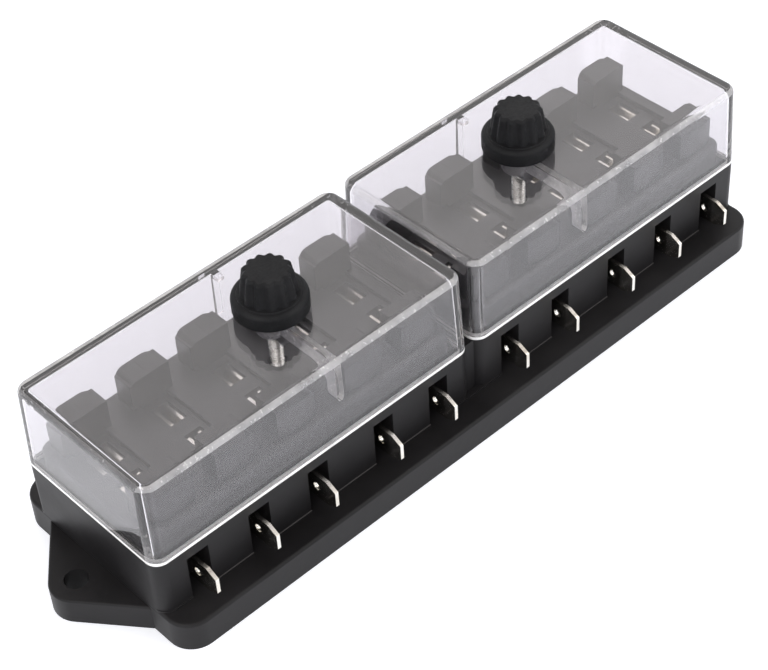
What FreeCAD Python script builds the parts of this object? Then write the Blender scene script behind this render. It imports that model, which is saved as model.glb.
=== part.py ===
import FreeCAD, Part
import math
import os

# Blade fuse block with two clear covers, each held by a thumbscrew.
# Sizes are in millimetres. X runs along the block, Y to the rear and Z up.
# The origin is the middle of the footprint, on the mounting surface.

# Flange and fixing ears
FLANGE_WIDTH = 53.4
FLANGE_HEIGHT = 7.1
FLANGE_CORNER_RADIUS = 5.6
FLANGE_EDGE_RADIUS = 0.7
EAR_HOLE_REACH = 5.6
EAR_HOLE_RADIUS = 2.5
EAR_TIP_RADIUS = 5.6
EAR_ROOT_HALF_WIDTH = 16.1
EAR_HEIGHT = 6.2
EAR_EDGE_RADIUS = 0.5

# Housings that carry the covers
HOUSING_WIDTH = 41.0
HOUSING_GAP = 1.6
HOUSING_CORNER_RADIUS = 3.0
LEDGE_HEIGHT = 20.4
PLINTH_PROUD = 0.25
PLINTH_HEIGHT = 0.4
WEB_SETBACK = 1.4

# Ways along the block, and the thumbscrew between them
WAYS_BESIDE_STUD = 17.5
WAY_PITCH = 15.15
INNER_WAYS = 2
OUTER_WAYS = 3
TOWER_INNER_SPACE = 2.0
TOWER_OUTER_SPACE = 1.95

# Raised tier inside each cover, with two towers to a way
TIER_END_CLEARANCE = 0.7
TIER_SIDE_CLEARANCE = 1.6
TIER_HEIGHT = 5.6
TIER_CORNER_RADIUS = 2.5
TIER_EDGE_RADIUS = 1.2
TOWER_WIDTH = 9.7
TOWER_HEIGHT = 6.7
TOWER_TOP_RADIUS = 1.8
TOWER_SETBACK = 1.5
TOWER_BULGE = 0.7
TOWER_BULGE_SLOPE = 2.2

# Fuse well: a regular blade fuse stands in it between two towers
FUSE_LENGTH = 19.1
FUSE_WIDTH = 5.1
FUSE_END_CLEARANCE = 0.2
FUSE_SIDE_CLEARANCE = 0.8
WELL_DEPTH = 1.0
BLADE_SPACING = 9.9
BLADE_WIDTH = 5.2

# Stamped terminal: tab, strip and folded fuse clip
SHEET = 0.8
TAB_WIDTH = 6.3
TAB_CENTRE_HEIGHT = 12.5
TAB_TIP_Y = 25.7
TAB_CHAMFER_LENGTH = 2.5
TAB_CHAMFER_HEIGHT = 1.3
TAB_HOLE_RADIUS = 0.95
TAB_HOLE_SETBACK = 5.5
CLIP_BELLY_GAP = 1.6
CLIP_PINCH_GAP = 0.55
CLIP_LIP_GAP = 1.9
CLIP_BELLY_TOP = 19.5
CLIP_PINCH_HEIGHT = 22.4
CLIP_TOP = 24.4
JOGGLE_LENGTH = 2.3
MOULDED_CLEARANCE = 0.03
CLIP_POCKET_CLEARANCE = 0.4

# Recess in the side wall behind each tab
RECESS_WIDTH = 5.2
RECESS_TOP = 18.0
RECESS_DEPTH = 5.0

# Open underside with ribs
UNDERSIDE_WALL = 2.6
UNDERSIDE_RIB = 2.2
UNDERSIDE_ROOF = 2.2
UNDERSIDE_ROW_SPLIT_Y = 13.6

# Clear cover
COVER_WALL = 2.1
COVER_HEADROOM = 6.0
COVER_TOP_THICKNESS = 2.0
COVER_DRAFT = 0.6
COVER_TOP_EDGE_RADIUS = 1.4
COVER_INNER_EDGE_RADIUS = 0.6
COLLAR_RADIUS = 3.65
COLLAR_DROP = 3.7
COLLAR_RIM = 0.7
COVER_BORE_CLEARANCE = 0.1
FRONT_RIB_WIDTH = 3.1
FRONT_RIB_WALL_DEPTH = 2.0
FRONT_RIB_TOP_DEPTH = 0.8
FRONT_RIB_BEND_RADIUS = 3.0
FRONT_RIB_FOOT_CLEARANCE = 1.0
REAR_RIB_WIDTH = 1.6
REAR_RIB_WALL_DEPTH = 1.0
REAR_RIB_TOP_LENGTH = 2.8
REAR_RIB_TOP_DEPTH = 1.2
REAR_RIB_FOOT_CLEARANCE = 1.5

# Thumbscrew: moulded knob on a metal stud
SKIRT_RADIUS = 7.75
SKIRT_HEIGHT = 3.9
SKIRT_EDGE_RADIUS = 1.0
SKIRT_FOOT_CHAMFER = 0.4
RING_RADIUS = 6.5
RING_HEIGHT = 0.3
GRIP_FOOT_RADIUS = 6.0
GRIP_TOP_RADIUS = 5.15
GRIP_HEIGHT = 5.6
GRIP_EDGE_RADIUS = 0.5
FLUTES = 13
FLUTE_DEPTH = 0.5
FLUTE_STEPS = 6
STUD_RADIUS = 1.5
STUD_FOOT_HEIGHT = 14.0
STUD_TIP_CHAMFER = 0.4
STUD_HEAD_RADIUS = 2.6
STUD_HEAD_HEIGHT = 2.4
STUD_HEAD_LIFT = 2.6

# Threaded insert in the base
INSERT_RADIUS = 2.4
INSERT_LENGTH = 8.0
INSERT_SINK = 2.0
INSERT_GROOVE_WIDTH = 1.2
INSERT_GROOVE_DEPTH = 0.3
INSERT_RUNNING_CLEARANCE = 0.05
STUD_POCKET_CLEARANCE = 0.4
STUD_POCKET_DEPTH = 2.0

# Heights and places that follow from the sizes above
HOUSING_INNER_X = HOUSING_GAP / 2
TIER_INNER_X = HOUSING_INNER_X + COVER_WALL + TIER_END_CLEARANCE
FIRST_WAY_X = TIER_INNER_X + TOWER_INNER_SPACE + TOWER_WIDTH / 2
STUD_X = FIRST_WAY_X + (INNER_WAYS - 1) * WAY_PITCH + WAYS_BESIDE_STUD / 2
LAST_WAY_X = STUD_X + WAYS_BESIDE_STUD / 2 + (OUTER_WAYS - 1) * WAY_PITCH
TIER_OUTER_X = LAST_WAY_X + TOWER_WIDTH / 2 + TOWER_OUTER_SPACE
HOUSING_OUTER_X = TIER_OUTER_X + TIER_END_CLEARANCE + COVER_WALL
FLANGE_LENGTH = 2 * HOUSING_OUTER_X
EAR_HOLE_SPACING = FLANGE_LENGTH + 2 * EAR_HOLE_REACH
HOUSING_SIDE_Y = HOUSING_WIDTH / 2
TIER_TOP = LEDGE_HEIGHT + TIER_HEIGHT
TIER_SIDE_Y = HOUSING_SIDE_Y - COVER_WALL - TIER_SIDE_CLEARANCE
TOWER_OUTER_Y = TIER_SIDE_Y - TOWER_SETBACK
TOWER_INNER_Y = FUSE_LENGTH / 2 + FUSE_END_CLEARANCE
TOWER_TOP = TIER_TOP + TOWER_HEIGHT
WELL_FLOOR = TIER_TOP - WELL_DEPTH
TAB_FOOT = TAB_CENTRE_HEIGHT - TAB_WIDTH / 2
CLIP_OUTER_HALF = CLIP_BELLY_GAP / 2 + SHEET
CLIP_NEAR_Y = BLADE_SPACING / 2 - BLADE_WIDTH / 2
CLIP_FAR_Y = BLADE_SPACING / 2 + BLADE_WIDTH / 2
JOGGLE_START_Y = CLIP_FAR_Y + JOGGLE_LENGTH
COVER_INNER_Y = HOUSING_SIDE_Y - COVER_WALL
COVER_CEILING = TOWER_TOP + COVER_HEADROOM
COVER_TOP_HEIGHT = COVER_CEILING + COVER_TOP_THICKNESS
COLLAR_FOOT = COVER_CEILING - COLLAR_DROP
FRONT_RIB_FOOT = TIER_TOP + FRONT_RIB_FOOT_CLEARANCE
REAR_RIB_FOOT = TIER_TOP + REAR_RIB_FOOT_CLEARANCE
KNOB_FOOT = COVER_TOP_HEIGHT + COLLAR_RIM
RING_FOOT = KNOB_FOOT + SKIRT_HEIGHT
GRIP_FOOT = RING_FOOT + RING_HEIGHT
GRIP_TOP = GRIP_FOOT + GRIP_HEIGHT
STUD_HEAD_FOOT = KNOB_FOOT + STUD_HEAD_LIFT
STUD_HEAD_TOP = STUD_HEAD_FOOT + STUD_HEAD_HEIGHT
INSERT_TOP = TIER_TOP - INSERT_SINK
INSERT_FOOT = INSERT_TOP - INSERT_LENGTH
OVERCUT = 1.0


def way_places():
    """X of the ways of the right housing, from the middle of the block outwards."""
    first_inner = STUD_X - WAYS_BESIDE_STUD / 2
    first_outer = STUD_X + WAYS_BESIDE_STUD / 2
    inner = [first_inner - i * WAY_PITCH for i in range(INNER_WAYS)]
    outer = [first_outer + i * WAY_PITCH for i in range(OUTER_WAYS)]
    return sorted(inner) + outer


RIGHT_WAYS = way_places()
ALL_WAYS = [-x for x in reversed(RIGHT_WAYS)] + RIGHT_WAYS


def point(x, y, z):
    return FreeCAD.Vector(x, y, z)


def mirrored(shape):
    """The same shape at the other end of the block."""
    return shape.mirror(point(0, 0, 0), point(1, 0, 0))


def rounded_rectangle(x0, x1, y0, y1, z, radius):
    """Closed outline at height z with four equal corner arcs."""
    corners = [(x1, y1, 0), (x0, y1, 90), (x0, y0, 180), (x1, y0, 270)]
    arcs = []
    for x, y, start in corners:
        centre_x = x - math.copysign(radius, x - (x0 + x1) / 2)
        centre_y = y - math.copysign(radius, y - (y0 + y1) / 2)
        on_arc = []
        for turn in (start, start + 45, start + 90):
            angle = math.radians(turn)
            x_on, y_on = centre_x + radius * math.cos(angle), centre_y + radius * math.sin(angle)
            on_arc.append(point(x_on, y_on, z))
        arcs.append(on_arc)
    edges = []
    for i, (begin, middle, end) in enumerate(arcs):
        edges.append(Part.Arc(begin, middle, end).toShape())
        edges.append(Part.makeLine(end, arcs[(i + 1) % len(arcs)][0]))
    return Part.Wire(edges)


def slab(x0, x1, y0, y1, z0, z1, radius):
    """Upright plate with rounded corners."""
    outline = rounded_rectangle(x0, x1, y0, y1, z0, radius)
    return Part.Face(outline).extrude(point(0, 0, z1 - z0))


def block(x0, x1, y0, y1, z0, z1):
    return Part.makeBox(x1 - x0, y1 - y0, z1 - z0, point(x0, y0, z0))


def edges_at_height(shape, z):
    """Edges that lie wholly in the plane at height z."""
    return [e for e in shape.Edges if abs(e.BoundBox.ZMin - z) < 1e-4 and abs(e.BoundBox.ZMax - z) < 1e-4]


def fused(shapes):
    return shapes[0].multiFuse(shapes[1:]).removeSplitter()


def polygon_prism(corners, direction):
    """Flat polygon swept along a straight direction."""
    return Part.Face(Part.makePolygon(corners + corners[:1])).extrude(direction)


def frustum(lower, upper):
    """Closed solid with flat sides between two level rings that have the same number of corners."""
    rings = [Part.makePolygon(ring + ring[:1]) for ring in (lower, upper)]
    return Part.makeLoft(rings, True, True)


def revolved(profile):
    """Closed profile of (radius, height) pairs turned about the Z axis."""
    corners = [point(r, 0, z) for r, z in profile]
    face = Part.Face(Part.makePolygon(corners + corners[:1]))
    return face.revolve(point(0, 0, 0), point(0, 0, 1), 360)


def ear():
    """Pointed fixing ear: a round tip with two sides that run to the wide root."""
    tip_x = EAR_HOLE_SPACING / 2
    root_x = FLANGE_LENGTH / 2
    reach = math.hypot(root_x - tip_x, EAR_ROOT_HALF_WIDTH)
    to_root = math.atan2(EAR_ROOT_HALF_WIDTH, root_x - tip_x)
    tangent = to_root - math.acos(EAR_TIP_RADIUS / reach)
    touch_x = tip_x + EAR_TIP_RADIUS * math.cos(tangent)
    touch_y = EAR_TIP_RADIUS * math.sin(tangent)
    inside_x = root_x - FLANGE_CORNER_RADIUS
    plan = [(inside_x, EAR_ROOT_HALF_WIDTH), (root_x, EAR_ROOT_HALF_WIDTH), (touch_x, touch_y)]
    upper = [point(x, y, 0) for x, y in plan]
    lower = [point(p.x, -p.y, 0) for p in upper]
    tip = point(tip_x + EAR_TIP_RADIUS, 0, 0)
    edges = [
        Part.makeLine(upper[0], upper[1]),
        Part.makeLine(upper[1], upper[2]),
        Part.Arc(upper[2], tip, lower[2]).toShape(),
        Part.makeLine(lower[2], lower[1]),
        Part.makeLine(lower[1], lower[0]),
        Part.makeLine(lower[0], upper[0]),
    ]
    solid = Part.Face(Part.Wire(edges)).extrude(point(0, 0, EAR_HEIGHT))
    rim = [e for e in edges_at_height(solid, EAR_HEIGHT) if e.BoundBox.XMax > root_x + EAR_EDGE_RADIUS]
    return solid.makeFillet(EAR_EDGE_RADIUS, rim)


def flange():
    """Thick mounting flange with rounded corners and a softened upper edge."""
    solid = slab(
        -FLANGE_LENGTH / 2, FLANGE_LENGTH / 2, -FLANGE_WIDTH / 2, FLANGE_WIDTH / 2,
        0, FLANGE_HEIGHT, FLANGE_CORNER_RADIUS,
    )
    return solid.makeFillet(FLANGE_EDGE_RADIUS, edges_at_height(solid, FLANGE_HEIGHT))


def housing():
    """Right housing up to the ledge, with the plinth round its foot and the tier inside the ledge."""
    walls = slab(
        HOUSING_INNER_X, HOUSING_OUTER_X, -HOUSING_SIDE_Y, HOUSING_SIDE_Y,
        FLANGE_HEIGHT, LEDGE_HEIGHT, HOUSING_CORNER_RADIUS,
    )
    foot_y = HOUSING_SIDE_Y + PLINTH_PROUD
    foot = slab(
        -HOUSING_CORNER_RADIUS, HOUSING_OUTER_X, -foot_y, foot_y,
        FLANGE_HEIGHT - PLINTH_HEIGHT, FLANGE_HEIGHT + PLINTH_HEIGHT, HOUSING_CORNER_RADIUS,
    )
    tier = slab(
        TIER_INNER_X, TIER_OUTER_X, -TIER_SIDE_Y, TIER_SIDE_Y, LEDGE_HEIGHT, TIER_TOP, TIER_CORNER_RADIUS
    )
    tier = tier.makeFillet(TIER_EDGE_RADIUS, edges_at_height(tier, TIER_TOP))
    return [walls, foot, tier]


def tower(way_x):
    """Rear tower of one way: rounded shoulders, and an outer face that is sloped back at both sides."""
    half = TOWER_WIDTH / 2
    front = slab(-half, half, -TOWER_TOP, TOWER_TOP, 0, TOWER_OUTER_Y, TOWER_TOP_RADIUS)
    front.rotate(point(0, 0, 0), point(1, 0, 0), -90)
    side_y = TOWER_OUTER_Y - TOWER_BULGE
    flat = half - TOWER_BULGE_SLOPE
    outline = [
        (half, TOWER_INNER_Y), (half, side_y), (flat, TOWER_OUTER_Y),
        (-flat, TOWER_OUTER_Y), (-half, side_y), (-half, TOWER_INNER_Y),
    ]
    plan = polygon_prism([point(x, y, WELL_FLOOR) for x, y in outline], point(0, 0, TOWER_TOP))
    solid = front.common(plan)
    solid.translate(point(way_x, 0, 0))
    return solid


def about_way(shape, way_x):
    """The shape of the rear side of a way, turned to its front side."""
    turned = shape.copy()
    turned.rotate(point(way_x, 0, 0), point(0, 0, 1), 180)
    return turned


def strip(clearance):
    """Flat strip behind the tab, joggled sideways to meet one leaf of the clip. It runs to the rear."""
    half = SHEET / 2 + clearance
    side = CLIP_BELLY_GAP / 2 + SHEET / 2
    centres = [(0, TAB_TIP_Y + clearance), (0, JOGGLE_START_Y), (side, CLIP_FAR_Y)]
    near = [point(x - half, y, TAB_FOOT - clearance) for x, y in centres]
    far = [point(x + half, y, TAB_FOOT - clearance) for x, y in centres]
    return polygon_prism(near + far[::-1], point(0, 0, TAB_WIDTH + 2 * clearance))


def tab_trim():
    """What is cut from the strip: two sloped corners at the tip, and the hole."""
    top = TAB_FOOT + TAB_WIDTH
    slope_y = TAB_TIP_Y - TAB_CHAMFER_LENGTH
    cuts = []
    for edge_z, inward in ((top, -1), (TAB_FOOT, 1)):
        corners = [
            point(-SHEET, slope_y, edge_z),
            point(-SHEET, TAB_TIP_Y, edge_z + inward * TAB_CHAMFER_HEIGHT),
            point(-SHEET, TAB_TIP_Y + OVERCUT, edge_z + inward * TAB_CHAMFER_HEIGHT),
            point(-SHEET, TAB_TIP_Y + OVERCUT, edge_z - inward * OVERCUT),
            point(-SHEET, slope_y, edge_z - inward * OVERCUT),
        ]
        cuts.append(polygon_prism(corners, point(2 * SHEET, 0, 0)))
    hole_y = TAB_TIP_Y - TAB_HOLE_SETBACK
    hole_start = point(-SHEET, hole_y, TAB_CENTRE_HEIGHT)
    return cuts + [Part.makeCylinder(TAB_HOLE_RADIUS, 2 * SHEET, hole_start, point(1, 0, 0))]


def clip():
    """Folded clip: a round bend below, two leaves that pinch the fuse blade, and flared lips."""
    bend_z = TAB_FOOT + CLIP_OUTER_HALF
    belly = CLIP_BELLY_GAP / 2
    inner = [
        (belly, bend_z), (belly, CLIP_BELLY_TOP),
        (CLIP_PINCH_GAP / 2, CLIP_PINCH_HEIGHT), (CLIP_LIP_GAP / 2, CLIP_TOP),
    ]
    outer = [(x + SHEET, z) for x, z in inner]

    def at(x, z):
        return point(x, CLIP_NEAR_Y, z)

    right = inner + outer[::-1]
    edges = []
    for sign in (1, -1):
        for (x0, z0), (x1, z1) in zip(right, right[1:]):
            edges.append(Part.makeLine(at(sign * x0, z0), at(sign * x1, z1)))
    for radius in (belly, belly + SHEET):
        edges.append(Part.Arc(at(-radius, bend_z), at(0, bend_z - radius), at(radius, bend_z)).toShape())
    outline = Part.Wire(Part.__sortEdges__(edges))
    return Part.Face(outline).extrude(point(0, BLADE_WIDTH, 0))


def terminal():
    """One stamped terminal of the rear side, at the middle of its way."""
    blade = strip(0).cut(Part.makeCompound(tab_trim()))
    return blade.fuse(clip()).removeSplitter()


def way_cuts(way_x):
    """Openings of one way: the fuse well, and for each side a clip pocket, a strip slot and a recess."""
    well_x = FUSE_WIDTH / 2 + FUSE_SIDE_CLEARANCE
    pocket_x = CLIP_OUTER_HALF + CLIP_POCKET_CLEARANCE
    cuts = [block(
        way_x - well_x, way_x + well_x, -TOWER_INNER_Y, TOWER_INNER_Y, WELL_FLOOR, TIER_TOP + OVERCUT
    )]
    pocket = block(
        way_x - pocket_x, way_x + pocket_x,
        CLIP_NEAR_Y - CLIP_POCKET_CLEARANCE, CLIP_FAR_Y + CLIP_POCKET_CLEARANCE,
        TAB_FOOT - MOULDED_CLEARANCE, TIER_TOP,
    )
    slot = strip(MOULDED_CLEARANCE)
    slot.translate(point(way_x, 0, 0))
    recess = block(
        way_x - RECESS_WIDTH / 2, way_x + RECESS_WIDTH / 2,
        HOUSING_SIDE_Y - RECESS_DEPTH, HOUSING_SIDE_Y + PLINTH_PROUD + OVERCUT, FLANGE_HEIGHT, RECESS_TOP,
    )
    for shape in (pocket, slot, recess):
        cuts.append(shape)
        cuts.append(about_way(shape, way_x))
    return cuts


def stud_cuts():
    """Seat of the moulded-in insert and the free hole through it, in the right housing."""
    seat_radius = INSERT_RADIUS + MOULDED_CLEARANCE
    seat = Part.makeCylinder(seat_radius, INSERT_LENGTH, point(STUD_X, 0, INSERT_FOOT))
    pocket_foot = STUD_FOOT_HEIGHT - STUD_POCKET_DEPTH
    free = Part.makeCylinder(
        STUD_RADIUS + STUD_POCKET_CLEARANCE, TIER_TOP - pocket_foot + OVERCUT, point(STUD_X, 0, pocket_foot)
    )
    return [seat, free]


def underside_cuts():
    """Hollows between the ribs of the underside, in three rows, a rib between each two ways."""
    edge_x = FLANGE_LENGTH / 2 - UNDERSIDE_WALL + UNDERSIDE_RIB / 2
    ribs = [(a + b) / 2 for a, b in zip(ALL_WAYS, ALL_WAYS[1:])]
    lines = [-edge_x] + ribs + [edge_x]
    outer_y = FLANGE_WIDTH / 2 - UNDERSIDE_WALL
    split = UNDERSIDE_ROW_SPLIT_Y
    half = UNDERSIDE_RIB / 2
    side_top = FLANGE_HEIGHT - UNDERSIDE_ROOF
    middle_top = TAB_FOOT - UNDERSIDE_ROOF
    rows = [
        (-outer_y, -split - half, side_top),
        (-split + half, split - half, middle_top),
        (split + half, outer_y, side_top),
    ]
    cuts = []
    for x0, x1 in zip(lines, lines[1:]):
        for y0, y1, top in rows:
            cuts.append(block(x0 + half, x1 - half, y0, y1, -OVERCUT, top))
    return cuts


def base():
    """The whole black moulding."""
    right = housing() + [ear()] + [tower(x) for x in RIGHT_WAYS]
    right += [about_way(tower(x), x) for x in RIGHT_WAYS]
    web_x = HOUSING_INNER_X + HOUSING_CORNER_RADIUS
    web_y = HOUSING_SIDE_Y - WEB_SETBACK
    web = block(-web_x, web_x, -web_y, web_y, FLANGE_HEIGHT, LEDGE_HEIGHT)
    solid = fused([flange(), web] + right + [mirrored(s) for s in right])
    cuts = underside_cuts()
    for x in ALL_WAYS:
        cuts += way_cuts(x)
    cuts += stud_cuts() + [mirrored(s) for s in stud_cuts()]
    for sign in (-1, 1):
        cuts.append(Part.makeCylinder(
            EAR_HOLE_RADIUS, EAR_HEIGHT + 2 * OVERCUT, point(sign * EAR_HOLE_SPACING / 2, 0, -OVERCUT)
        ))
    return solid.cut(cuts).removeSplitter()


def trapezoid(low, high, foot, top, direction):
    """Prism over an upright trapezoid: low and high are its ends at the foot and at the top."""
    (a0, a1), (b0, b1) = low, high
    if direction.x:
        corners = [point(0, a0, foot), point(0, a1, foot), point(0, b1, top), point(0, b0, top)]
    else:
        corners = [point(a0, 0, foot), point(a1, 0, foot), point(b1, 0, top), point(b0, 0, top)]
    return polygon_prism(corners, direction)


def tapered_box(inset, foot, top, corner_radius, edge_radius):
    """Drafted box inside the cover's outline, set in by a wall, with rounded corners and upper edge."""
    ends, sides = [], []
    for z in (foot, top):
        lean = inset + COVER_DRAFT * (z - LEDGE_HEIGHT) / (COVER_TOP_HEIGHT - LEDGE_HEIGHT)
        ends.append((HOUSING_INNER_X + lean, HOUSING_OUTER_X - lean))
        sides.append((lean - HOUSING_SIDE_Y, HOUSING_SIDE_Y - lean))
    along = trapezoid(sides[0], sides[1], foot, top, point(HOUSING_OUTER_X, 0, 0))
    across = trapezoid(ends[0], ends[1], foot, top, point(0, HOUSING_WIDTH, 0))
    across.translate(point(0, -HOUSING_SIDE_Y, 0))
    solid = along.common(across)
    slanted = [e for e in solid.Edges if e.BoundBox.ZLength > (top - foot) / 2]
    solid = solid.makeFillet(corner_radius, slanted)
    return solid.makeFillet(edge_radius, edges_at_height(solid, top))


def front_rib():
    """Rib from the collar along the ceiling, round a bend and down the front wall to a round end."""
    half = FRONT_RIB_WIDTH / 2
    left, right = STUD_X - half, STUD_X + half
    face_y = FRONT_RIB_WALL_DEPTH - COVER_INNER_Y
    under = COVER_CEILING - FRONT_RIB_TOP_DEPTH
    solid = block(
        left, right, -COVER_INNER_Y - COVER_WALL / 2, 0,
        FRONT_RIB_FOOT, COVER_CEILING + COVER_TOP_THICKNESS / 2,
    )
    room = block(left - OVERCUT, right + OVERCUT, face_y, OVERCUT, FRONT_RIB_FOOT - OVERCUT, under)
    level = [e for e in edges_at_height(room, under) if e.BoundBox.YMax < face_y / 2]
    bend = [e for e in level if e.BoundBox.XLength > e.BoundBox.YLength]
    solid = solid.cut(room.makeFillet(FRONT_RIB_BEND_RADIUS, bend))
    foot_z = FRONT_RIB_FOOT + half
    shank = block(left, right, -HOUSING_SIDE_Y, 0, foot_z, COVER_TOP_HEIGHT)
    end_centre = point(STUD_X, -HOUSING_SIDE_Y, foot_z)
    round_end = Part.makeCylinder(half, HOUSING_SIDE_Y, end_centre, point(0, 1, 0))
    return solid.common(shank.fuse(round_end))


def rear_rib():
    """Narrow rib down the inside of the rear wall, with a short foot along the ceiling."""
    left = STUD_X - REAR_RIB_WIDTH / 2
    right = STUD_X + REAR_RIB_WIDTH / 2
    face_y = COVER_INNER_Y - REAR_RIB_WALL_DEPTH
    tip_y = COVER_INNER_Y - REAR_RIB_TOP_LENGTH
    under = COVER_CEILING - REAR_RIB_TOP_DEPTH
    buried_y = COVER_INNER_Y + COVER_WALL / 2
    buried_z = COVER_CEILING + COVER_TOP_THICKNESS / 2
    upright = block(left, right, face_y, buried_y, REAR_RIB_FOOT, buried_z)
    along = block(left, right, tip_y, buried_y, under, buried_z)
    return upright.fuse(along)


def cover():
    """Right clear cover: a drafted shell with a bored collar for the stud, a front rib and a rear rib."""
    outer = tapered_box(0, LEDGE_HEIGHT, COVER_TOP_HEIGHT, HOUSING_CORNER_RADIUS, COVER_TOP_EDGE_RADIUS)
    hollow = tapered_box(
        COVER_WALL, LEDGE_HEIGHT - OVERCUT, COVER_CEILING,
        HOUSING_CORNER_RADIUS - COVER_WALL, COVER_INNER_EDGE_RADIUS,
    )
    collar_length = COVER_TOP_HEIGHT + COLLAR_RIM - COLLAR_FOOT
    collar = Part.makeCylinder(COLLAR_RADIUS, collar_length, point(STUD_X, 0, COLLAR_FOOT))
    shell = fused([outer.cut(hollow), collar, front_rib(), rear_rib()])
    bore_radius = STUD_RADIUS + COVER_BORE_CLEARANCE
    bore = Part.makeCylinder(bore_radius, collar_length + 2 * OVERCUT, point(STUD_X, 0, COLLAR_FOOT - OVERCUT))
    return shell.cut(bore).removeSplitter()


def fluted_ring(radius, z):
    """Scalloped outline of the grip: a round ridge between each two flutes."""
    ring = []
    steps = FLUTES * FLUTE_STEPS
    for i in range(steps):
        turn = 2 * math.pi * i / steps
        sunk = FLUTE_DEPTH * (1 - abs(math.sin(FLUTES * turn / 2)))
        ring.append(point((radius - sunk) * math.cos(turn), (radius - sunk) * math.sin(turn), z))
    return ring


def knob():
    """Fluted grip on a wide skirt, with a ring between them, on the Z axis."""
    skirt = revolved([
        (0, KNOB_FOOT),
        (SKIRT_RADIUS - SKIRT_FOOT_CHAMFER, KNOB_FOOT),
        (SKIRT_RADIUS, KNOB_FOOT + SKIRT_FOOT_CHAMFER),
        (SKIRT_RADIUS, RING_FOOT),
        (RING_RADIUS, RING_FOOT),
        (RING_RADIUS, GRIP_FOOT),
        (0, GRIP_FOOT),
    ])
    between = (SKIRT_RADIUS + RING_RADIUS) / 2
    skirt_edge = [e for e in edges_at_height(skirt, RING_FOOT) if e.BoundBox.XMax > between]
    skirt = skirt.makeFillet(SKIRT_EDGE_RADIUS, skirt_edge)
    shoulder = GRIP_TOP - GRIP_EDGE_RADIUS
    grip = frustum(fluted_ring(GRIP_FOOT_RADIUS, GRIP_FOOT), fluted_ring(GRIP_TOP_RADIUS, shoulder))
    crown_ring = fluted_ring(GRIP_TOP_RADIUS - GRIP_EDGE_RADIUS, GRIP_TOP)
    crown = frustum(fluted_ring(GRIP_TOP_RADIUS, shoulder), crown_ring)
    solid = fused([skirt, grip, crown])
    shank = Part.makeCylinder(STUD_RADIUS + MOULDED_CLEARANCE, STUD_HEAD_LIFT, point(0, 0, KNOB_FOOT))
    head = Part.makeCylinder(
        STUD_HEAD_RADIUS + MOULDED_CLEARANCE, STUD_HEAD_HEIGHT + 2 * MOULDED_CLEARANCE,
        point(0, 0, STUD_HEAD_FOOT - MOULDED_CLEARANCE),
    )
    return solid.cut([shank, head]).removeSplitter()


def stud():
    """Metal stud with a chamfered tip and a head that the knob is moulded round, on the Z axis."""
    return revolved([
        (0, STUD_FOOT_HEIGHT),
        (STUD_RADIUS - STUD_TIP_CHAMFER, STUD_FOOT_HEIGHT),
        (STUD_RADIUS, STUD_FOOT_HEIGHT + STUD_TIP_CHAMFER),
        (STUD_RADIUS, STUD_HEAD_FOOT),
        (STUD_HEAD_RADIUS, STUD_HEAD_FOOT),
        (STUD_HEAD_RADIUS, STUD_HEAD_TOP),
        (0, STUD_HEAD_TOP),
    ])


def insert():
    """Bored insert with one holding groove round it, on the Z axis."""
    bore = STUD_RADIUS + INSERT_RUNNING_CLEARANCE
    middle = INSERT_FOOT + INSERT_LENGTH / 2
    groove = INSERT_RADIUS - INSERT_GROOVE_DEPTH
    return revolved([
        (bore, INSERT_FOOT),
        (INSERT_RADIUS, INSERT_FOOT),
        (INSERT_RADIUS, middle - INSERT_GROOVE_WIDTH / 2),
        (groove, middle - INSERT_GROOVE_WIDTH / 2),
        (groove, middle + INSERT_GROOVE_WIDTH / 2),
        (INSERT_RADIUS, middle + INSERT_GROOVE_WIDTH / 2),
        (INSERT_RADIUS, INSERT_TOP),
        (bore, INSERT_TOP),
    ])


def placed(shape, x):
    moved = shape.copy()
    moved.translate(point(x, 0, 0))
    return moved


def write(name, shape):
    shape.exportStep("parts/" + name + ".step")


os.makedirs("parts", exist_ok=True)
write("base", base())

right_cover = cover()
write("cover_right", right_cover)
write("cover_left", mirrored(right_cover))

for name, shape in (("knob", knob()), ("stud", stud()), ("insert", insert())):
    write(name + "_right", placed(shape, STUD_X))
    write(name + "_left", placed(shape, -STUD_X))

rear_terminal = terminal()
for number, way_x in enumerate(ALL_WAYS, start=1):
    at_way = placed(rear_terminal, way_x)
    write("terminal_rear_" + str(number), at_way)
    write("terminal_front_" + str(number), about_way(at_way, way_x))
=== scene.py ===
import math

import bmesh
import bpy
from mathutils import Matrix, Vector


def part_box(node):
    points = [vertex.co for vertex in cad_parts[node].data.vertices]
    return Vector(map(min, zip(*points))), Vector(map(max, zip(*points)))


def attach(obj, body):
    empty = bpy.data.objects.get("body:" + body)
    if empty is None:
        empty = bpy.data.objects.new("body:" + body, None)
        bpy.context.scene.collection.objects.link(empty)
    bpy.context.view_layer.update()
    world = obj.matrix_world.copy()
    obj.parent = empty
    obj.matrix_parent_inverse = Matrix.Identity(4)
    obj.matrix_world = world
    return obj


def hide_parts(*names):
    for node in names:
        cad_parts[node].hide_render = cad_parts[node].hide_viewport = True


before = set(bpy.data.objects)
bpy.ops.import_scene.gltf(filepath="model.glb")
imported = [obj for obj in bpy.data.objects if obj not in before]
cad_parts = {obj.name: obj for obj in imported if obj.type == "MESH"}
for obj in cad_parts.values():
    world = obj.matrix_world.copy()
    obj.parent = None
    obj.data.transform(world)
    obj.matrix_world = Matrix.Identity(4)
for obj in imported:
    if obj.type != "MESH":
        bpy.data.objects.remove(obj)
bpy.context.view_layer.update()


# Base: one black moulding with the flange, two housings, ten ways and their towers.
# It is a glass-filled plastic with a satin skin, and its mould leaves every edge a little round.
# The piece is the solid's own surface with those edge rounds, and the top edge of its plinth carries a
# painted highlight line in a lighter black.

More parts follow.
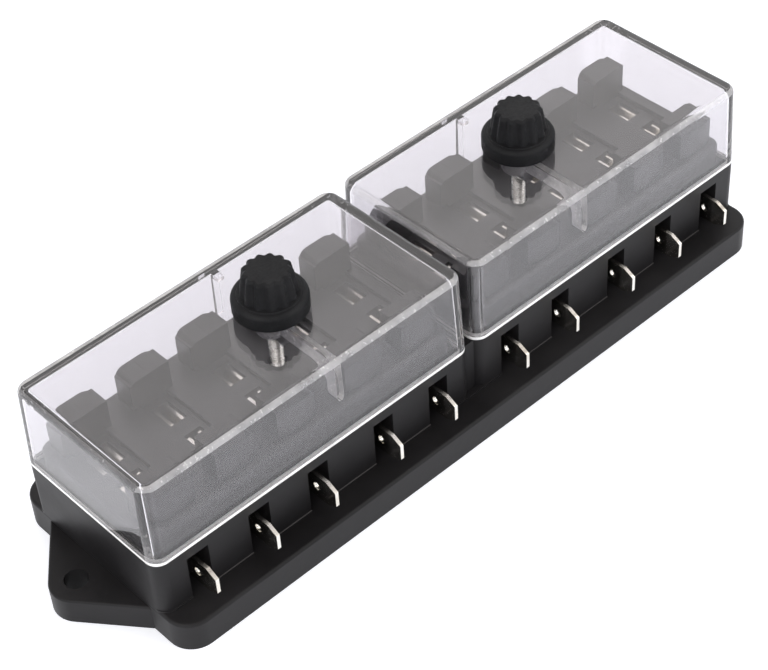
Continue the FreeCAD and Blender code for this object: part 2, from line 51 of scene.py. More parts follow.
BASE_EDGE_ROUND = 0.00022
EDGE_SEGMENTS = 2
SMOOTH_LIMIT = math.radians(28)
FLAT_LIMIT = math.radians(0.4)
WELD_DISTANCE = 2e-6
MOULDING_DARK = (0.0095, 0.0088, 0.0095)
MOULDING_LIGHT = (0.0165, 0.0155, 0.0165)
# Lighter black painted along the plinth's top edge as a highlight line.
PAINTED_HIGHLIGHT_BLACK = (0.085, 0.08, 0.08, 1)
LOWER_SHEEN = 0.2
UPPER_SHEEN = 0.75
UPPER_FOOT = 0.0206
SHEEN_BLEND = 0.0002
PLINTH_LOW = 0.0072
PLINTH_HIGH = 0.0077
PLINTH_Y = 0.0204
PLINTH_TILT = 0.3


def shader_material(name):
    """New material with its tree, its Principled node and object coordinates."""
    made = bpy.data.materials.new(name)
    made.use_nodes = True
    tree = made.node_tree
    shader = tree.nodes["Principled BSDF"]
    place = tree.nodes.new("ShaderNodeTexCoord").outputs["Object"]
    return made, tree, shader, place


def noise(tree, place, scale, detail=3, roughness=0.5):
    """Noise value at a number of waves per metre."""
    texture = tree.nodes.new("ShaderNodeTexNoise")
    texture.inputs["Scale"].default_value = scale
    texture.inputs["Detail"].default_value = detail
    texture.inputs["Roughness"].default_value = roughness
    tree.links.new(place, texture.inputs["Vector"])
    return texture.outputs["Fac"]


def ranged(tree, value, low, high, start=0.3, end=0.7):
    """Value spread from low to high."""
    spread = tree.nodes.new("ShaderNodeMapRange")
    for name, number in (("From Min", start), ("From Max", end), ("To Min", low), ("To Max", high)):
        spread.inputs[name].default_value = number
    tree.links.new(value, spread.inputs["Value"])
    return spread.outputs["Result"]


def tinted(tree, value, dark, light):
    """Colour between dark and light."""
    ramp = tree.nodes.new("ShaderNodeValToRGB")
    ramp.color_ramp.elements[0].position = 0.35
    ramp.color_ramp.elements[0].color = (*dark, 1)
    ramp.color_ramp.elements[1].position = 0.65
    ramp.color_ramp.elements[1].color = (*light, 1)
    tree.links.new(value, ramp.inputs["Fac"])
    return ramp.outputs["Color"]


def bumped(tree, shader, height, depth, strength=1.0, under=None):
    """Bump of a depth in metres on the shader's normal."""
    bump = tree.nodes.new("ShaderNodeBump")
    bump.inputs["Distance"].default_value = depth
    bump.inputs["Strength"].default_value = strength
    tree.links.new(height, bump.inputs["Height"])
    if under is not None:
        tree.links.new(under, bump.inputs["Normal"])
    tree.links.new(bump.outputs["Normal"], shader.inputs["Normal"])
    return bump.outputs["Normal"]


def black_moulding():
    """Satin black plastic: a fine spark-eroded skin with faint flow marks, and a lighter black painted
    as a highlight where the mask is set.
    """
    made, tree, shader, place = shader_material("black_moulding")
    flow = noise(tree, place, scale=55, detail=4)
    skin = noise(tree, place, scale=2600, detail=2)
    # Painted highlight: faces set in this mask take the lighter black.
    highlight_mask = tree.nodes.new("ShaderNodeAttribute")
    highlight_mask.attribute_name = "painted_highlight"
    tone = tree.nodes.new("ShaderNodeMix")
    tone.data_type = "RGBA"
    tree.links.new(highlight_mask.outputs["Fac"], tone.inputs["Factor"])
    tree.links.new(tinted(tree, flow, MOULDING_DARK, MOULDING_LIGHT), tone.inputs["A"])
    tone.inputs["B"].default_value = PAINTED_HIGHLIGHT_BLACK
    tree.links.new(tone.outputs["Result"], shader.inputs["Base Color"])
    tree.links.new(ranged(tree, flow, low=0.36, high=0.5), shader.inputs["Roughness"])
    height = tree.nodes.new("ShaderNodeSeparateXYZ")
    tree.links.new(place, height.inputs[0])
    sheen = ranged(
        tree, height.outputs["Z"], low=LOWER_SHEEN, high=UPPER_SHEEN,
        start=UPPER_FOOT, end=UPPER_FOOT + SHEEN_BLEND,
    )
    tree.links.new(sheen, shader.inputs["Specular IOR Level"])
    wavy = bumped(tree, shader, noise(tree, place, scale=260), depth=0.00004)
    bumped(tree, shader, skin, depth=0.000005, under=wavy)
    return made


def merged_copy(node):
    """The solid's surface as one joined mesh with its flat faces whole."""
    shell = bmesh.new()
    shell.from_mesh(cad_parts[node].data)
    bmesh.ops.remove_doubles(shell, verts=shell.verts, dist=WELD_DISTANCE)
    bmesh.ops.dissolve_limit(shell, angle_limit=FLAT_LIMIT, verts=shell.verts, edges=shell.edges)
    return shell


def plain_result(made):
    """What the object's modifiers make of it, as a mesh of its own."""
    shaped = made.evaluated_get(bpy.context.evaluated_depsgraph_get())
    mesh = bpy.data.meshes.new_from_object(shaped)
    made.modifiers.clear()
    return mesh


def smooth_shaded(made):
    """Smooth shading that stops at the sharp edges and leaves the wide faces flat."""
    made.data.shade_smooth()
    made.data.set_sharp_from_angle(angle=SMOOTH_LIMIT)
    even = made.modifiers.new("even", "WEIGHTED_NORMAL")
    even.weight = 100
    even.keep_sharp = True
    rough_mesh = made.data
    made.data = plain_result(made)
    bpy.data.meshes.remove(rough_mesh)


def piece(name, mesh, material):
    """Object at the origin with one material."""
    mesh.materials.clear()
    mesh.materials.append(material)
    made = bpy.data.objects.new(name, mesh)
    bpy.context.scene.collection.objects.link(made)
    return made


def edge_rounded(name, shell, width, material):
    """Piece whose sharp edges are rounded over a small width."""
    mesh = bpy.data.meshes.new(name)
    shell.to_mesh(mesh)
    shell.free()
    made = piece(name, mesh, material)
    rounding = made.modifiers.new("edges", "BEVEL")
    rounding.limit_method = "ANGLE"
    rounding.angle_limit = SMOOTH_LIMIT
    rounding.width = width
    rounding.segments = EDGE_SEGMENTS
    made.data = plain_result(made)
    bpy.data.meshes.remove(mesh)
    smooth_shaded(made)
    return made


def settle(made, body, slot, *nodes):
    """The piece stands for the nodes, which it hides, and rides on the body; the slot is not used."""
    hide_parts(*nodes)
    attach(made, body)


black = black_moulding()
base = edge_rounded("base_moulding", merged_copy("base"), BASE_EDGE_ROUND, black)
# Painted highlight: faces on the plinth's top edge, out past the walls, are set for the lighter black.
highlight_mask = base.data.attributes.new("painted_highlight", "FLOAT", "FACE")
for face in base.data.polygons:
    spot = face.center
    on_edge = PLINTH_LOW < spot.z < PLINTH_HIGH and abs(spot.y) > PLINTH_Y
    highlight_mask.data[face.index].value = 1.0 if on_edge and abs(face.normal.z) > PLINTH_TILT else 0.0
settle(base, "block", "base_plastic", "base")


# Threaded inserts: two short brass bushes that are pressed hot into the tiers, one under each knob.
# They are turned from free-cutting brass, and they lie hidden deep under the covers.

BRASS_DARK = (0.50, 0.34, 0.13)
BRASS_LIGHT = (0.72, 0.53, 0.25)

def turned_brass():
    """Yellow brass with fine turning marks round it."""
    made, tree, shader, place = shader_material("turned_brass")
    marks = tree.nodes.new("ShaderNodeTexWave")
    marks.bands_direction = "Z"
    marks.inputs["Scale"].default_value = 900
    marks.inputs["Distortion"].default_value = 0.6
    tree.links.new(place, marks.inputs["Vector"])
    tone = noise(tree, place, scale=400)
    tree.links.new(tinted(tree, tone, BRASS_DARK, BRASS_LIGHT), shader.inputs["Base Color"])
    tree.links.new(ranged(tree, tone, low=0.24, high=0.38), shader.inputs["Roughness"])
    shader.inputs["Metallic"].default_value = 1.0
    bumped(tree, shader, marks.outputs["Fac"], depth=0.00001)
    return made


brass = turned_brass()
for side in ("left", "right"):
    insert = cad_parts["insert_" + side]
    insert.data.materials.clear()
    insert.data.materials.append(brass)


# Terminals: twenty blades stamped from 0.8 mm tinned brass, folded into a fuse clip at the inner end.
# They are pressed into slots of the base, so that a 6.3 mm tab stands out of each recess.
# One blade is softened at its edges, and set at every way on both sides.

TERMINAL_EDGE_ROUND = 0.00012
WAY_COUNT = 10
ROLLED_STRETCH = (1.0, 0.06, 1.0)
TIN_DARK = (0.70, 0.66, 0.58)
TIN_LIGHT = (0.86, 0.84, 0.79)


def tinned_brass():
    """Bright tin over brass: fine rolled grain and soft stains."""
    made, tree, shader, place = shader_material("tinned_brass")
    grain = tree.nodes.new("ShaderNodeMapping")
    grain.inputs["Scale"].default_value = ROLLED_STRETCH
    tree.links.new(place, grain.inputs["Vector"])
    rolled = noise(tree, grain.outputs["Vector"], scale=5200, detail=2)
    stain = noise(tree, place, scale=180, detail=4)
    tree.links.new(tinted(tree, stain, TIN_DARK, TIN_LIGHT), shader.inputs["Base Color"])
    tree.links.new(ranged(tree, stain, low=0.16, high=0.26), shader.inputs["Roughness"])
    shader.inputs["Metallic"].default_value = 1.0
    bumped(tree, shader, rolled, depth=0.0000015)
    return made


def tree_input(tree, name, kind, value=None):
    """Named input of a Geometry Nodes tree."""
    made = tree.interface.new_socket(name, in_out="INPUT", socket_type=kind)
    if value is not None:
        made.default_value = value
    return made


def set_inputs(modifier, values):
    """Inputs of the modifier, set by the identifiers of their sockets."""
    for item in modifier.node_group.interface.items_tree:
        if item.in_out == "INPUT" and item.name in values:
            modifier[item.identifier] = values[item.name]


def at_each_way():
    """Tree that sets one shape at each point of a mesh, and turns it about Z on the front side."""
    tree = bpy.data.node_groups.new("at_each_way", "GeometryNodeTree")
    tree_input(tree, "Ways", "NodeSocketGeometry")
    tree_input(tree, "Shape", "NodeSocketObject")
    tree_input(tree, "Half turn", "NodeSocketFloat", math.pi)
    tree_input(tree, "Finish", "NodeSocketMaterial")
    tree.interface.new_socket("Row", in_out="OUTPUT", socket_type="NodeSocketGeometry")
    add = tree.nodes.new
    link = tree.links.new
    start, end = add("NodeGroupInput"), add("NodeGroupOutput")
    shape = add("GeometryNodeObjectInfo")
    link(start.outputs["Shape"], shape.inputs["Object"])
    is_front = add("GeometryNodeInputNamedAttribute")
    is_front.data_type = "FLOAT"
    is_front.inputs["Name"].default_value = "front_side"
    turn = add("ShaderNodeMath")
    turn.operation = "MULTIPLY"
    link(is_front.outputs["Attribute"], turn.inputs[0])
    link(start.outputs["Half turn"], turn.inputs[1])
    about = add("ShaderNodeCombineXYZ")
    link(turn.outputs[0], about.inputs["Z"])
    place = add("GeometryNodeInstanceOnPoints")
    link(start.outputs["Ways"], place.inputs["Points"])
    link(shape.outputs["Geometry"], place.inputs["Instance"])
    link(about.outputs[0], place.inputs["Rotation"])
    real = add("GeometryNodeRealizeInstances")
    link(place.outputs["Instances"], real.inputs[0])
    finish = add("GeometryNodeSetMaterial")
    link(real.outputs[0], finish.inputs["Geometry"])
    link(start.outputs["Finish"], finish.inputs["Material"])
    link(finish.outputs[0], end.inputs[0])
    return tree


def made_by_tree(name, mesh, tree, values, material):
    """Plain piece with the result of a tree that runs on a mesh."""
    carrier = bpy.data.objects.new(name, mesh)
    bpy.context.scene.collection.objects.link(carrier)
    modifier = carrier.modifiers.new("tree", "NODES")
    modifier.node_group = tree
    set_inputs(modifier, {**values, "Finish": material})
    result = plain_result(carrier)
    bpy.data.objects.remove(carrier)
    made = piece(name, result, material)
    smooth_shaded(made)
    return made


ways = []
for number in range(1, WAY_COUNT + 1):
    low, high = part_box("terminal_rear_%d" % number)
    front_low, front_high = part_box("terminal_front_%d" % number)
    ways.append((low.x + high.x + front_low.x + front_high.x) / 4)
points = bpy.data.meshes.new("ways")
points.from_pydata([(x, 0, 0) for x in ways * 2], [], [])
front_side = points.attributes.new("front_side", "FLOAT", "POINT")
for index in range(WAY_COUNT * 2):
    front_side.data[index].value = 1.0 if index >= WAY_COUNT else 0.0

tin = tinned_brass()
blade = edge_rounded("blade", merged_copy("terminal_rear_1"), TERMINAL_EDGE_ROUND, tin)
blade.data.transform(Matrix.Translation((-ways[0], 0, 0)))
way_tree = at_each_way()
terminals = made_by_tree("terminals", points, way_tree, {"Shape": blade, "Half turn": math.pi}, tin)
bpy.data.objects.remove(blade)
terminal_nodes = []
for side in ("front", "rear"):
    terminal_nodes += ["terminal_%s_%d" % (side, number) for number in range(1, WAY_COUNT + 1)]
settle(terminals, "block", "terminal_brass", *terminal_nodes)


# Tower shoulders: the square inner part of each of the twenty towers, which flanks the fuse.
# It belongs to the black moulding, and one half of it stands a little lower than the other.
# One block is set at every way on both sides, over the rounded outer part of the tower.

SHOULDER_HALF_WIDTH = 0.00487
SHOULDER_NEAR = 0.00972
SHOULDER_FAR = 0.01462
SHOULDER_FOOT = 0.0262
SHOULDER_TOP = 0.03274
SHOULDER_STEP = 0.0005
SHOULDER_EDGE_ROUND = 0.00012


def stepped_block():
    """Block with a step in its top, between the near and far planes."""
    low_top = SHOULDER_TOP - SHOULDER_STEP
    outline = [
        (-SHOULDER_HALF_WIDTH, SHOULDER_FOOT),
        (SHOULDER_HALF_WIDTH, SHOULDER_FOOT),
        (SHOULDER_HALF_WIDTH, SHOULDER_TOP),
        (0, SHOULDER_TOP),
        (0, low_top),
        (-SHOULDER_HALF_WIDTH, low_top),
    ]
    shell = bmesh.new()
    near = [shell.verts.new((x, SHOULDER_NEAR, z)) for x, z in outline]
    far = [shell.verts.new((x, SHOULDER_FAR, z)) for x, z in outline]
    shell.faces.new(near)
    shell.faces.new(far[::-1])
    for i in range(len(outline)):
        after = (i + 1) % len(outline)
        shell.faces.new((near[i], far[i], far[after], near[after]))
    bmesh.ops.recalc_face_normals(shell, faces=shell.faces)
    return shell


shoulder = edge_rounded("shoulder", stepped_block(), SHOULDER_EDGE_ROUND, black)
turned_shape = {"Shape": shoulder, "Half turn": math.pi}
shoulders = made_by_tree("tower_shoulders", points, way_tree, turned_shape, black)
bpy.data.objects.remove(shoulder)
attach(shoulders, "block")


# Covers: two clear lids, injection moulded in polystyrene and dropped over the tiers.
# Each has a short collar round the stud, a rib from it down the front wall, and a narrow rib behind.
# The polished mould gives them a glassy face. Their rim, top edges, rear strip, rib and collar turn
# milky as a painted highlight for the bright bands light makes in those edges, broken up by a mottle of
# scuffs.

COVER_EDGE_ROUND = 0.00025
COVER_SEAT_GAP = 0.00008
CLEAR_TINT = (0.83, 0.815, 0.84, 1)
# Milky tint painted as a highlight on the edges, the rib and the collar.
PAINTED_HIGHLIGHT_TINT = (0.98, 0.97, 0.945, 1)
CLEAR_TRANSMISSION = 0.975
CLEAR_IOR = 1.53

RIM_BAND = 0.0008
# Share of painted highlight on the rim; the limits below pick the other bands that take it.
RIM_HIGHLIGHT = 1.0
RIM_UNDER = 0.5
TILTED = 0.2
LEVEL = 0.95
SQUARE_ON = 0.97
COLLAR_RIM = 0.0007
TOP_EDGE_BAND = 0.0016
TOP_FLAT_BAND = 0.0004
KNOB_SEAT_REACH = 0.004
REAR_BAND = 0.0022
# Shares of painted highlight on the top's front, end and rear edges.
FRONT_EDGE_HIGHLIGHT = 0.34
END_EDGE_HIGHLIGHT = 0.16
REAR_EDGE_HIGHLIGHT = 0.42

COLLAR_RADIUS = 0.00365
COLLAR_FOOT = 0.0348
# Share of painted highlight on the collar.
COLLAR_HIGHLIGHT = 0.3
COLLAR_MARGIN = 0.0001
COLLAR_TOUCH = 0.00002

RIB_HALF_WIDTH = 0.0016
RIB_SPAN_Y = (-0.0187, -0.003)
RIB_SPAN_Z = (0.0269, 0.0388)
# Span of the rib's painted highlight.
RIB_HIGHLIGHT_BACK = -0.0185
RIB_HIGHLIGHT_TOP = 0.0386
RIB_FACE_Y = -0.0164
RIB_FACE_Z = 0.0379
RIB_BEND_Y = -0.0134
RIB_FOOT_Z = 0.03
RIB_TOUCH = 0.00005
RIB_NARROWING = 0.52
RIB_SHIFT = 0.0003
RIB_EXTRA_ON_WALL = 0.0011
RIB_EXTRA_ON_CEILING = 0.0022
RIB_FOOT_LIFT = 0.0022
WALL_LEAN = 0.03
# Shares of painted highlight on the rib's edges, sides and face.
RIB_EDGE_HIGHLIGHT = 1.0
RIB_SIDE_HIGHLIGHT = 0.62
RIB_FACE_HIGHLIGHT = 0.3
RIB_FACE_TILT = 0.3


def clear_moulding():
    """Clear plastic, slightly wavy, that turns milky where a painted highlight is set, broken up by a
    mottle of scuffs.
    """
    made, tree, shader, place = shader_material("clear_moulding")
    # Painted highlight: set faces turn milky and lose transmission.
    highlight_mask = tree.nodes.new("ShaderNodeAttribute")
    highlight_mask.attribute_name = "painted_highlight"
    fine = noise(tree, place, scale=1500, roughness=0.7)
    specks = ranged(tree, fine, low=0.0, high=1.0, start=0.6, end=0.68)
    streaks = ranged(tree, noise(tree, place, scale=240, detail=2), low=0.7, high=1.2)
    mottle = tree.nodes.new("ShaderNodeMath")
    mottle.operation = "ADD"
    tree.links.new(specks, mottle.inputs[0])
    tree.links.new(streaks, mottle.inputs[1])
    patchy = tree.nodes.new("ShaderNodeMath")
    patchy.operation = "MULTIPLY"
    patchy.use_clamp = True
    tree.links.new(highlight_mask.outputs["Fac"], patchy.inputs[0])
    tree.links.new(mottle.outputs[0], patchy.inputs[1])
    highlight_share = patchy.outputs[0]
    tint = tree.nodes.new("ShaderNodeMix")
    tint.data_type = "RGBA"
    tint.inputs["A"].default_value = CLEAR_TINT
    tint.inputs["B"].default_value = PAINTED_HIGHLIGHT_TINT
    tree.links.new(highlight_share, tint.inputs["Factor"])
    tree.links.new(tint.outputs["Result"], shader.inputs["Base Color"])
    glassy = ranged(tree, highlight_share, low=CLEAR_TRANSMISSION, high=0.0, start=0.0, end=1.0)
    tree.links.new(glassy, shader.inputs["Transmission Weight"])
    shader.inputs["IOR"].default_value = CLEAR_IOR
    scuffs = noise(tree, place, scale=130, detail=5)
    tree.links.new(ranged(tree, scuffs, low=0.004, high=0.02), shader.inputs["Roughness"])
    bumped(tree, shader, noise(tree, place, scale=45, detail=2), depth=0.00006, strength=0.6)
    return made


def reshape_rib(shell, stud_x):
    """Makes the front rib narrower and deeper, and ends it higher on the wall."""
    for corner in shell.verts:
        spot = corner.co
        off_stud = spot.x - stud_x
        in_span = RIB_SPAN_Y[0] < spot.y < RIB_SPAN_Y[1] and RIB_SPAN_Z[0] < spot.z < RIB_SPAN_Z[1]
        if abs(off_stud) > RIB_HALF_WIDTH or not in_span:
            continue
        by_collar = abs(math.hypot(off_stud, spot.y) - COLLAR_RADIUS) < COLLAR_TOUCH
        spot.x = stud_x + off_stud * RIB_NARROWING - RIB_SHIFT
        if by_collar:
            spot.y = -math.sqrt(COLLAR_RADIUS ** 2 - (spot.x - stud_x) ** 2)
        at_foot = spot.z < RIB_FOOT_Z
        free = spot.z < RIB_FACE_Z + RIB_TOUCH and spot.y > RIB_FACE_Y - RIB_TOUCH
        if free and not at_foot:
            spot.z -= RIB_EXTRA_ON_CEILING
        if free and spot.y < RIB_BEND_Y + RIB_TOUCH:
            spot.y += RIB_EXTRA_ON_WALL
        if at_foot:
            spot.z += RIB_FOOT_LIFT
            spot.y += RIB_FOOT_LIFT * WALL_LEAN


def painted_edge_highlights(mesh, foot, top, rear, stud_x):
    """How much painted highlight each face takes: the rim, the top's outer edges, its rear strip, the
    rib and the collar.
    """
    painted_highlight = mesh.attributes.new("painted_highlight", "FLOAT", "FACE")
    for face in mesh.polygons:
        turned, spot = face.normal, face.center
        off_stud = abs(spot.x - stud_x)
        from_axis = math.hypot(off_stud, spot.y)
        tilted = TILTED < turned.z < LEVEL
        on_rib = off_stud < RIB_HALF_WIDTH and RIB_HIGHLIGHT_BACK < spot.y < -COLLAR_RADIUS
        amount = 0.0
        if spot.z < foot + RIM_BAND and turned.z > -RIM_UNDER:
            amount = RIM_HIGHLIGHT
        elif spot.z > top - TOP_EDGE_BAND and tilted and off_stud > KNOB_SEAT_REACH:
            amount = END_EDGE_HIGHLIGHT
            if abs(turned.y) > TILTED:
                amount = FRONT_EDGE_HIGHLIGHT if turned.y < 0 else REAR_EDGE_HIGHLIGHT
        elif on_rib and spot.z < RIB_HIGHLIGHT_TOP:
            if abs(turned.x) > TILTED:
                amount = RIB_SIDE_HIGHLIGHT if abs(turned.x) > SQUARE_ON else RIB_EDGE_HIGHLIGHT
            elif spot.y > RIB_FACE_Y and max(-turned.z, turned.y) > RIB_FACE_TILT:
                amount = RIB_FACE_HIGHLIGHT
        elif turned.z > LEVEL and spot.z > top - TOP_FLAT_BAND and spot.y > rear:
            amount = REAR_EDGE_HIGHLIGHT
        elif from_axis < COLLAR_RADIUS + COLLAR_MARGIN and COLLAR_FOOT < spot.z < RIB_HIGHLIGHT_TOP:
            amount = RIB_EDGE_HIGHLIGHT if TILTED < -turned.z < SQUARE_ON else COLLAR_HIGHLIGHT
        painted_highlight.data[face.index].value = amount


def cut_across(shell, place, normal):
    """Cuts the faces along a plane and keeps both sides."""
    parts = shell.verts[:] + shell.edges[:] + shell.faces[:]
    bmesh.ops.bisect_plane(shell, geom=parts, plane_co=place, plane_no=normal)


clear = clear_moulding()
for side in ("left", "right"):
    node = "cover_" + side
    shell = merged_copy(node)
    low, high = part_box(node)
    rear = high.y - REAR_BAND
    for corner in shell.verts:
        corner.co.z = max(corner.co.z, low.z + COVER_SEAT_GAP)
    stud_low, stud_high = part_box("stud_" + side)
    stud_x = (stud_low.x + stud_high.x) / 2
    reshape_rib(shell, stud_x)
    cut_across(shell, (0, 0, low.z + RIM_BAND), (0, 0, 1))
    cut_across(shell, (0, rear, 0), (0, 1, 0))
    cover = edge_rounded("clear_" + node, shell, COVER_EDGE_ROUND, clear)
    # Painted highlights on the rim, the top edges, the rear strip, the rib and the collar.
    painted_edge_highlights(cover.data, low.z, high.z - COLLAR_RIM, rear, stud_x)
    settle(cover, side + "_cover", "clear_cover", node)


# Studs: two M3 screws of bright plated steel with a rolled thread from the tip to the knob.
# The head is moulded into the knob, and the thread runs down through the cover into the insert.

THREAD_PITCH = 0.0005
THREAD_DEPTH = 0.0003
STUD_RADIUS = 0.0015
HEAD_RADIUS = 0.0026
HEAD_HEIGHT = 0.0024
TIP_SHARE = 0.7
END_SHARE = 0.0005
POLE_WELD = 1e-6
TURNS_AHEAD = 64.0
STEPS_PER_TURN = 8
STEPS_AROUND = 32
PLATING_DARK = (0.50, 0.50, 0.45)
PLATING_LIGHT = (0.74, 0.735, 0.68)


def plated_steel():
    """Bright zinc plating with small changes of tone."""
    made, tree, shader, place = shader_material("plated_steel")
    tone = noise(tree, place, scale=700)
    tree.links.new(tinted(tree, tone, PLATING_DARK, PLATING_LIGHT), shader.inputs["Base Color"])
    tree.links.new(ranged(tree, tone, low=0.2, high=0.32), shader.inputs["Roughness"])
    shader.inputs["Metallic"].default_value = 1.0
    bumped(tree, shader, noise(tree, place, scale=4000, detail=1), depth=0.000003)
    return made


def threaded_stud():
    """Tree that wraps a flat grid into a threaded shank with a plain head, closed at both ends."""
    tree = bpy.data.node_groups.new("threaded_stud", "GeometryNodeTree")
    tree_input(tree, "Start", "NodeSocketGeometry")
    for name in ("Centre X", "Foot", "Length", "Pitch", "Depth", "Radius", "Head radius", "Head height"):
        tree_input(tree, name, "NodeSocketFloat")
    tree_input(tree, "Around", "NodeSocketInt")
    tree_input(tree, "Along", "NodeSocketInt")
    tree_input(tree, "Finish", "NodeSocketMaterial")
    tree.interface.new_socket("Stud", in_out="OUTPUT", socket_type="NodeSocketGeometry")
    add = tree.nodes.new
    link = tree.links.new
    start, end = add("NodeGroupInput"), add("NodeGroupOutput")

    def calc(operation, *terms):
        made = add("ShaderNodeMath")
        made.operation = operation
        for socket, term in zip(made.inputs, terms):
            if isinstance(term, (int, float)):
                socket.default_value = term
            else:
                link(term, socket)
        return made.outputs[0]

    given = start.outputs
    grid = add("GeometryNodeMeshGrid")
    grid.inputs["Size X"].default_value = 1.0
    grid.inputs["Size Y"].default_value = 1.0
    link(given["Around"], grid.inputs["Vertices X"])
    link(given["Along"], grid.inputs["Vertices Y"])
    where = add("ShaderNodeSeparateXYZ")
    link(add("GeometryNodeInputPosition").outputs[0], where.inputs[0])
    share_round = calc("ADD", where.outputs["X"], 0.5)
    share_along = calc("ADD", where.outputs["Y"], 0.5)
    height = calc("MULTIPLY", share_along, given["Length"])
    turns = calc("SUBTRACT", calc("DIVIDE", height, given["Pitch"]), share_round)
    part_turn = calc("FRACT", calc("ADD", turns, TURNS_AHEAD))
    crest = calc("ABSOLUTE", calc("SUBTRACT", calc("MULTIPLY", part_turn, 2.0), 1.0))
    sunk = calc("MULTIPLY", calc("SUBTRACT", 1.0, crest), given["Depth"])
    thread = calc("SUBTRACT", given["Radius"], sunk)
    from_top = calc("SUBTRACT", given["Length"], height)
    in_head = calc("LESS_THAN", from_top, given["Head height"])
    extra = calc("MULTIPLY", in_head, calc("SUBTRACT", given["Head radius"], thread))
    with_head = calc("ADD", thread, extra)
    tip_cone = calc("ADD", height, calc("MULTIPLY", given["Radius"], TIP_SHARE))
    with_tip = calc("MINIMUM", tip_cone, with_head)
    past_foot = calc("GREATER_THAN", share_along, END_SHARE)
    before_top = calc("LESS_THAN", share_along, 1.0 - END_SHARE)
    radius = calc("MULTIPLY", with_tip, calc("MULTIPLY", past_foot, before_top))
    angle = calc("MULTIPLY", share_round, 2 * math.pi)
    spot = add("ShaderNodeCombineXYZ")
    off_centre = calc("MULTIPLY", radius, calc("COSINE", angle))
    link(calc("ADD", given["Centre X"], off_centre), spot.inputs["X"])
    link(calc("MULTIPLY", radius, calc("SINE", angle)), spot.inputs["Y"])
    link(calc("ADD", given["Foot"], height), spot.inputs["Z"])
    wrap = add("GeometryNodeSetPosition")
    link(grid.outputs["Mesh"], wrap.inputs["Geometry"])
    link(spot.outputs[0], wrap.inputs["Position"])
    closed = add("GeometryNodeMergeByDistance")
    closed.inputs["Distance"].default_value = POLE_WELD
    link(wrap.outputs[0], closed.inputs["Geometry"])
    real = add("GeometryNodeRealizeInstances")
    link(closed.outputs[0], real.inputs[0])
    finish = add("GeometryNodeSetMaterial")
    link(real.outputs[0], finish.inputs["Geometry"])
    link(given["Finish"], finish.inputs["Material"])
    link(finish.outputs[0], end.inputs[0])
    return tree


steel = plated_steel()
stud_tree = threaded_stud()
for side in ("left", "right"):
    low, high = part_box("stud_" + side)
    length = high.z - low.z
    sizes = {
        "Centre X": (low.x + high.x) / 2,
        "Foot": low.z,
        "Length": length,
        "Pitch": THREAD_PITCH,
        "Depth": THREAD_DEPTH,
        "Radius": STUD_RADIUS,
        "Head radius": HEAD_RADIUS,
        "Head height": HEAD_HEIGHT,
        "Around": STEPS_AROUND + 1,
        "Along": round(length / THREAD_PITCH * STEPS_PER_TURN) + 1,
    }
    start_mesh = bpy.data.meshes.new("start")
    stud = made_by_tree("threaded_stud_" + side, start_mesh, stud_tree, sizes, steel)
    settle(stud, side + "_thumbscrew", "stud_steel", "stud_" + side)


# Knobs: two black thumb knobs, moulded over the heads of the studs.
# A wide round skirt bears on the cover, and the fluted grip above it is turned with two fingers.
# The plastic is dull, with the fine grain of a blasted mould.

KNOB_EDGE_ROUND = 0.00015
GRIP_LIFT = 0.0042
GRIP_CORE = 0.0035
GRIP_REACH = 0.00605
SOLID_FLUTE_DEPTH = 0.0005
FLUTE_DEPTH = 0.00066
RIDGE_POWER = 1.7
HEIGHT_TOUCH = 0.00001
GRIP_DARK = (0.008, 0.008, 0.009)
GRIP_LIGHT = (0.015, 0.015, 0.016)


def grained_black():
    """Dull black plastic with a fine grain."""
    made, tree, shader, place = shader_material("grained_black")
    grain = noise(tree, place, scale=2100, detail=2)
    tone = noise(tree, place, scale=160)
    tree.links.new(tinted(tree, tone, GRIP_DARK, GRIP_LIGHT), shader.inputs["Base Color"])
    tree.links.new(ranged(tree, grain, low=0.42, high=0.6), shader.inputs["Roughness"])
    shader.inputs["Specular IOR Level"].default_value = 0.15
    bumped(tree, shader, grain, depth=0.00004)
    return made


def widen_flutes(shell, axis_x, foot):
    """Makes each flute wider and deeper, and the ridge between two of them narrow."""
    rings = {}
    for corner in shell.verts:
        reach = math.hypot(corner.co.x - axis_x, corner.co.y)
        if corner.co.z > foot - HEIGHT_TOUCH and GRIP_CORE < reach < GRIP_REACH:
            rings.setdefault(round(corner.co.z, 5), []).append((reach, corner))
    for ring in rings.values():
        ridge = max(reach for reach, corner in ring)
        for reach, corner in ring:
            height = 1 - (ridge - reach) / SOLID_FLUTE_DEPTH
            sunk = FLUTE_DEPTH * (1 - max(height, 0) ** RIDGE_POWER)
            share = (ridge - sunk) / reach
            corner.co.x = axis_x + (corner.co.x - axis_x) * share
            corner.co.y *= share


grained = grained_black()
for side in ("left", "right"):
    node = "knob_" + side
    shell = merged_copy(node)
    low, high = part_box(node)
    widen_flutes(shell, (low.x + high.x) / 2, low.z + GRIP_LIFT)
    knob = edge_rounded("fluted_" + node, shell, KNOB_EDGE_ROUND, grained)
    settle(knob, side + "_thumbscrew", "knob_plastic", node)


# Studio: a plain pale floor that glows a little, a pale tent of light and three soft boxes.
# The lights are far larger than the block, so shadows stay soft.

FLOOR_SIZE = 6.0
FLOOR_COLOUR = (0.90, 0.915, 0.95, 1)
FLOOR_GLOW = 0.42
TENT_LOW = (0.90, 0.94, 1.0)
TENT_HIGH = (0.94, 0.905, 0.885)
TENT_STRENGTH = 0.9
SOFT_BOXES = (
    ("left_light", (-1.1, -0.2, 0.9), (1.2, 1.2), 6),
    ("right_light", (0.9, -0.9, 1.0), (1.2, 1.2), 6),
    ("back_light", (0.75, 0.85, 1.1), (1.5, 1.2), 3.6),
)


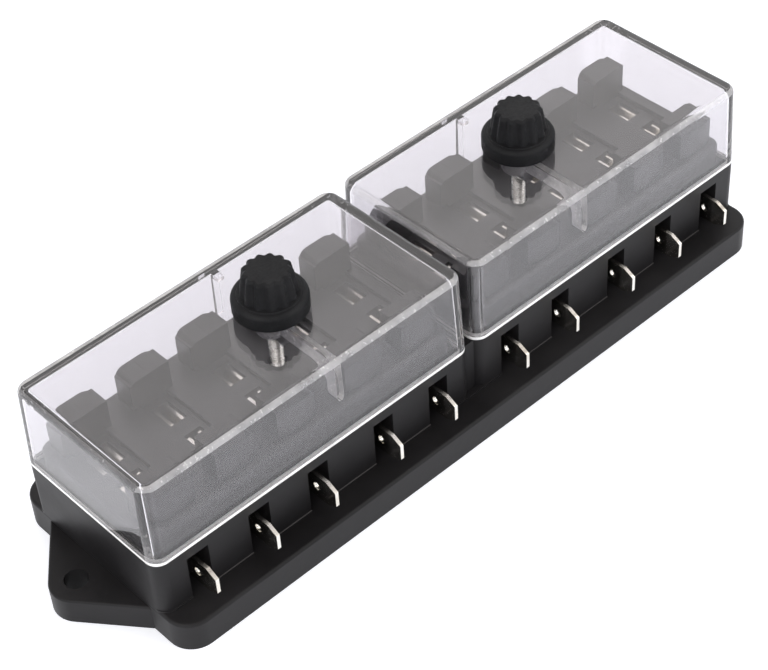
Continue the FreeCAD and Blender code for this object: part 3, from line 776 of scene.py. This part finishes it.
def soft_box(name, place, size, power):
    """Rectangular light that faces the middle of the block."""
    lamp = bpy.data.lights.new(name, "AREA")
    lamp.shape = "RECTANGLE"
    lamp.size, lamp.size_y = size
    lamp.energy = power
    made = bpy.data.objects.new(name, lamp)
    made.location = place
    made.rotation_euler = (-Vector(place)).to_track_quat("-Z", "Y").to_euler()
    bpy.context.scene.collection.objects.link(made)


floor_mesh = bpy.data.meshes.new("floor")
half = FLOOR_SIZE / 2
floor_corners = [(-half, -half, 0), (half, -half, 0), (half, half, 0), (-half, half, 0)]
floor_mesh.from_pydata(floor_corners, [], [(0, 1, 2, 3)])
floor_material, _, floor_shader, _ = shader_material("white_floor")
floor_shader.inputs["Base Color"].default_value = FLOOR_COLOUR
floor_shader.inputs["Roughness"].default_value = 0.9
floor_shader.inputs["Specular IOR Level"].default_value = 0.1
floor_shader.inputs["Emission Color"].default_value = FLOOR_COLOUR
floor_shader.inputs["Emission Strength"].default_value = FLOOR_GLOW
piece("floor", floor_mesh, floor_material)

world = bpy.data.worlds.new("tent")
world.use_nodes = True
tent = world.node_tree
sky = tent.nodes["Background"]
upward = tent.nodes.new("ShaderNodeSeparateXYZ")
tent.links.new(tent.nodes.new("ShaderNodeTexCoord").outputs["Generated"], upward.inputs[0])
rise = ranged(tent, upward.outputs["Z"], low=0.0, high=1.0, start=0.1, end=0.7)
tent.links.new(tinted(tent, rise, TENT_LOW, TENT_HIGH), sky.inputs["Color"])
sky.inputs["Strength"].default_value = TENT_STRENGTH
bpy.context.scene.world = world
bpy.context.scene.view_settings.view_transform = "Standard"

for name, place, size, power in SOFT_BOXES:
    soft_box(name, place, size, power)


# Camera: stands in front of the left end and looks down on the block.
# It is rolled a little, and its lens is shifted so that the block fills the frame.

CAMERA_AZIMUTH = math.radians(41.27)
CAMERA_ELEVATION = math.radians(44.311)
CAMERA_ROLL = math.radians(-3.559)
CAMERA_DISTANCE = 0.440458
CAMERA_LENS = 95.66
CAMERA_SENSOR = 36.0
CAMERA_SHIFT = (-0.03214, 0.04499)
CAMERA_NEAREST = 0.01

ahead = Vector((
    math.sin(CAMERA_AZIMUTH) * math.cos(CAMERA_ELEVATION),
    math.cos(CAMERA_AZIMUTH) * math.cos(CAMERA_ELEVATION),
    -math.sin(CAMERA_ELEVATION),
))
level = Vector((math.cos(CAMERA_AZIMUTH), -math.sin(CAMERA_AZIMUTH), 0))
above = level.cross(ahead)
right = math.cos(CAMERA_ROLL) * level + math.sin(CAMERA_ROLL) * above
top = -math.sin(CAMERA_ROLL) * level + math.cos(CAMERA_ROLL) * above

lens = bpy.data.cameras.new("camera")
lens.lens = CAMERA_LENS
lens.sensor_width = CAMERA_SENSOR
lens.sensor_fit = "HORIZONTAL"
lens.shift_x, lens.shift_y = CAMERA_SHIFT
lens.clip_start = CAMERA_NEAREST
camera = bpy.data.objects.new("camera", lens)
turned = Matrix((right, top, -ahead)).transposed().to_4x4()
camera.matrix_world = Matrix.Translation(-ahead * CAMERA_DISTANCE) @ turned
bpy.context.scene.collection.objects.link(camera)
bpy.context.scene.camera = camera
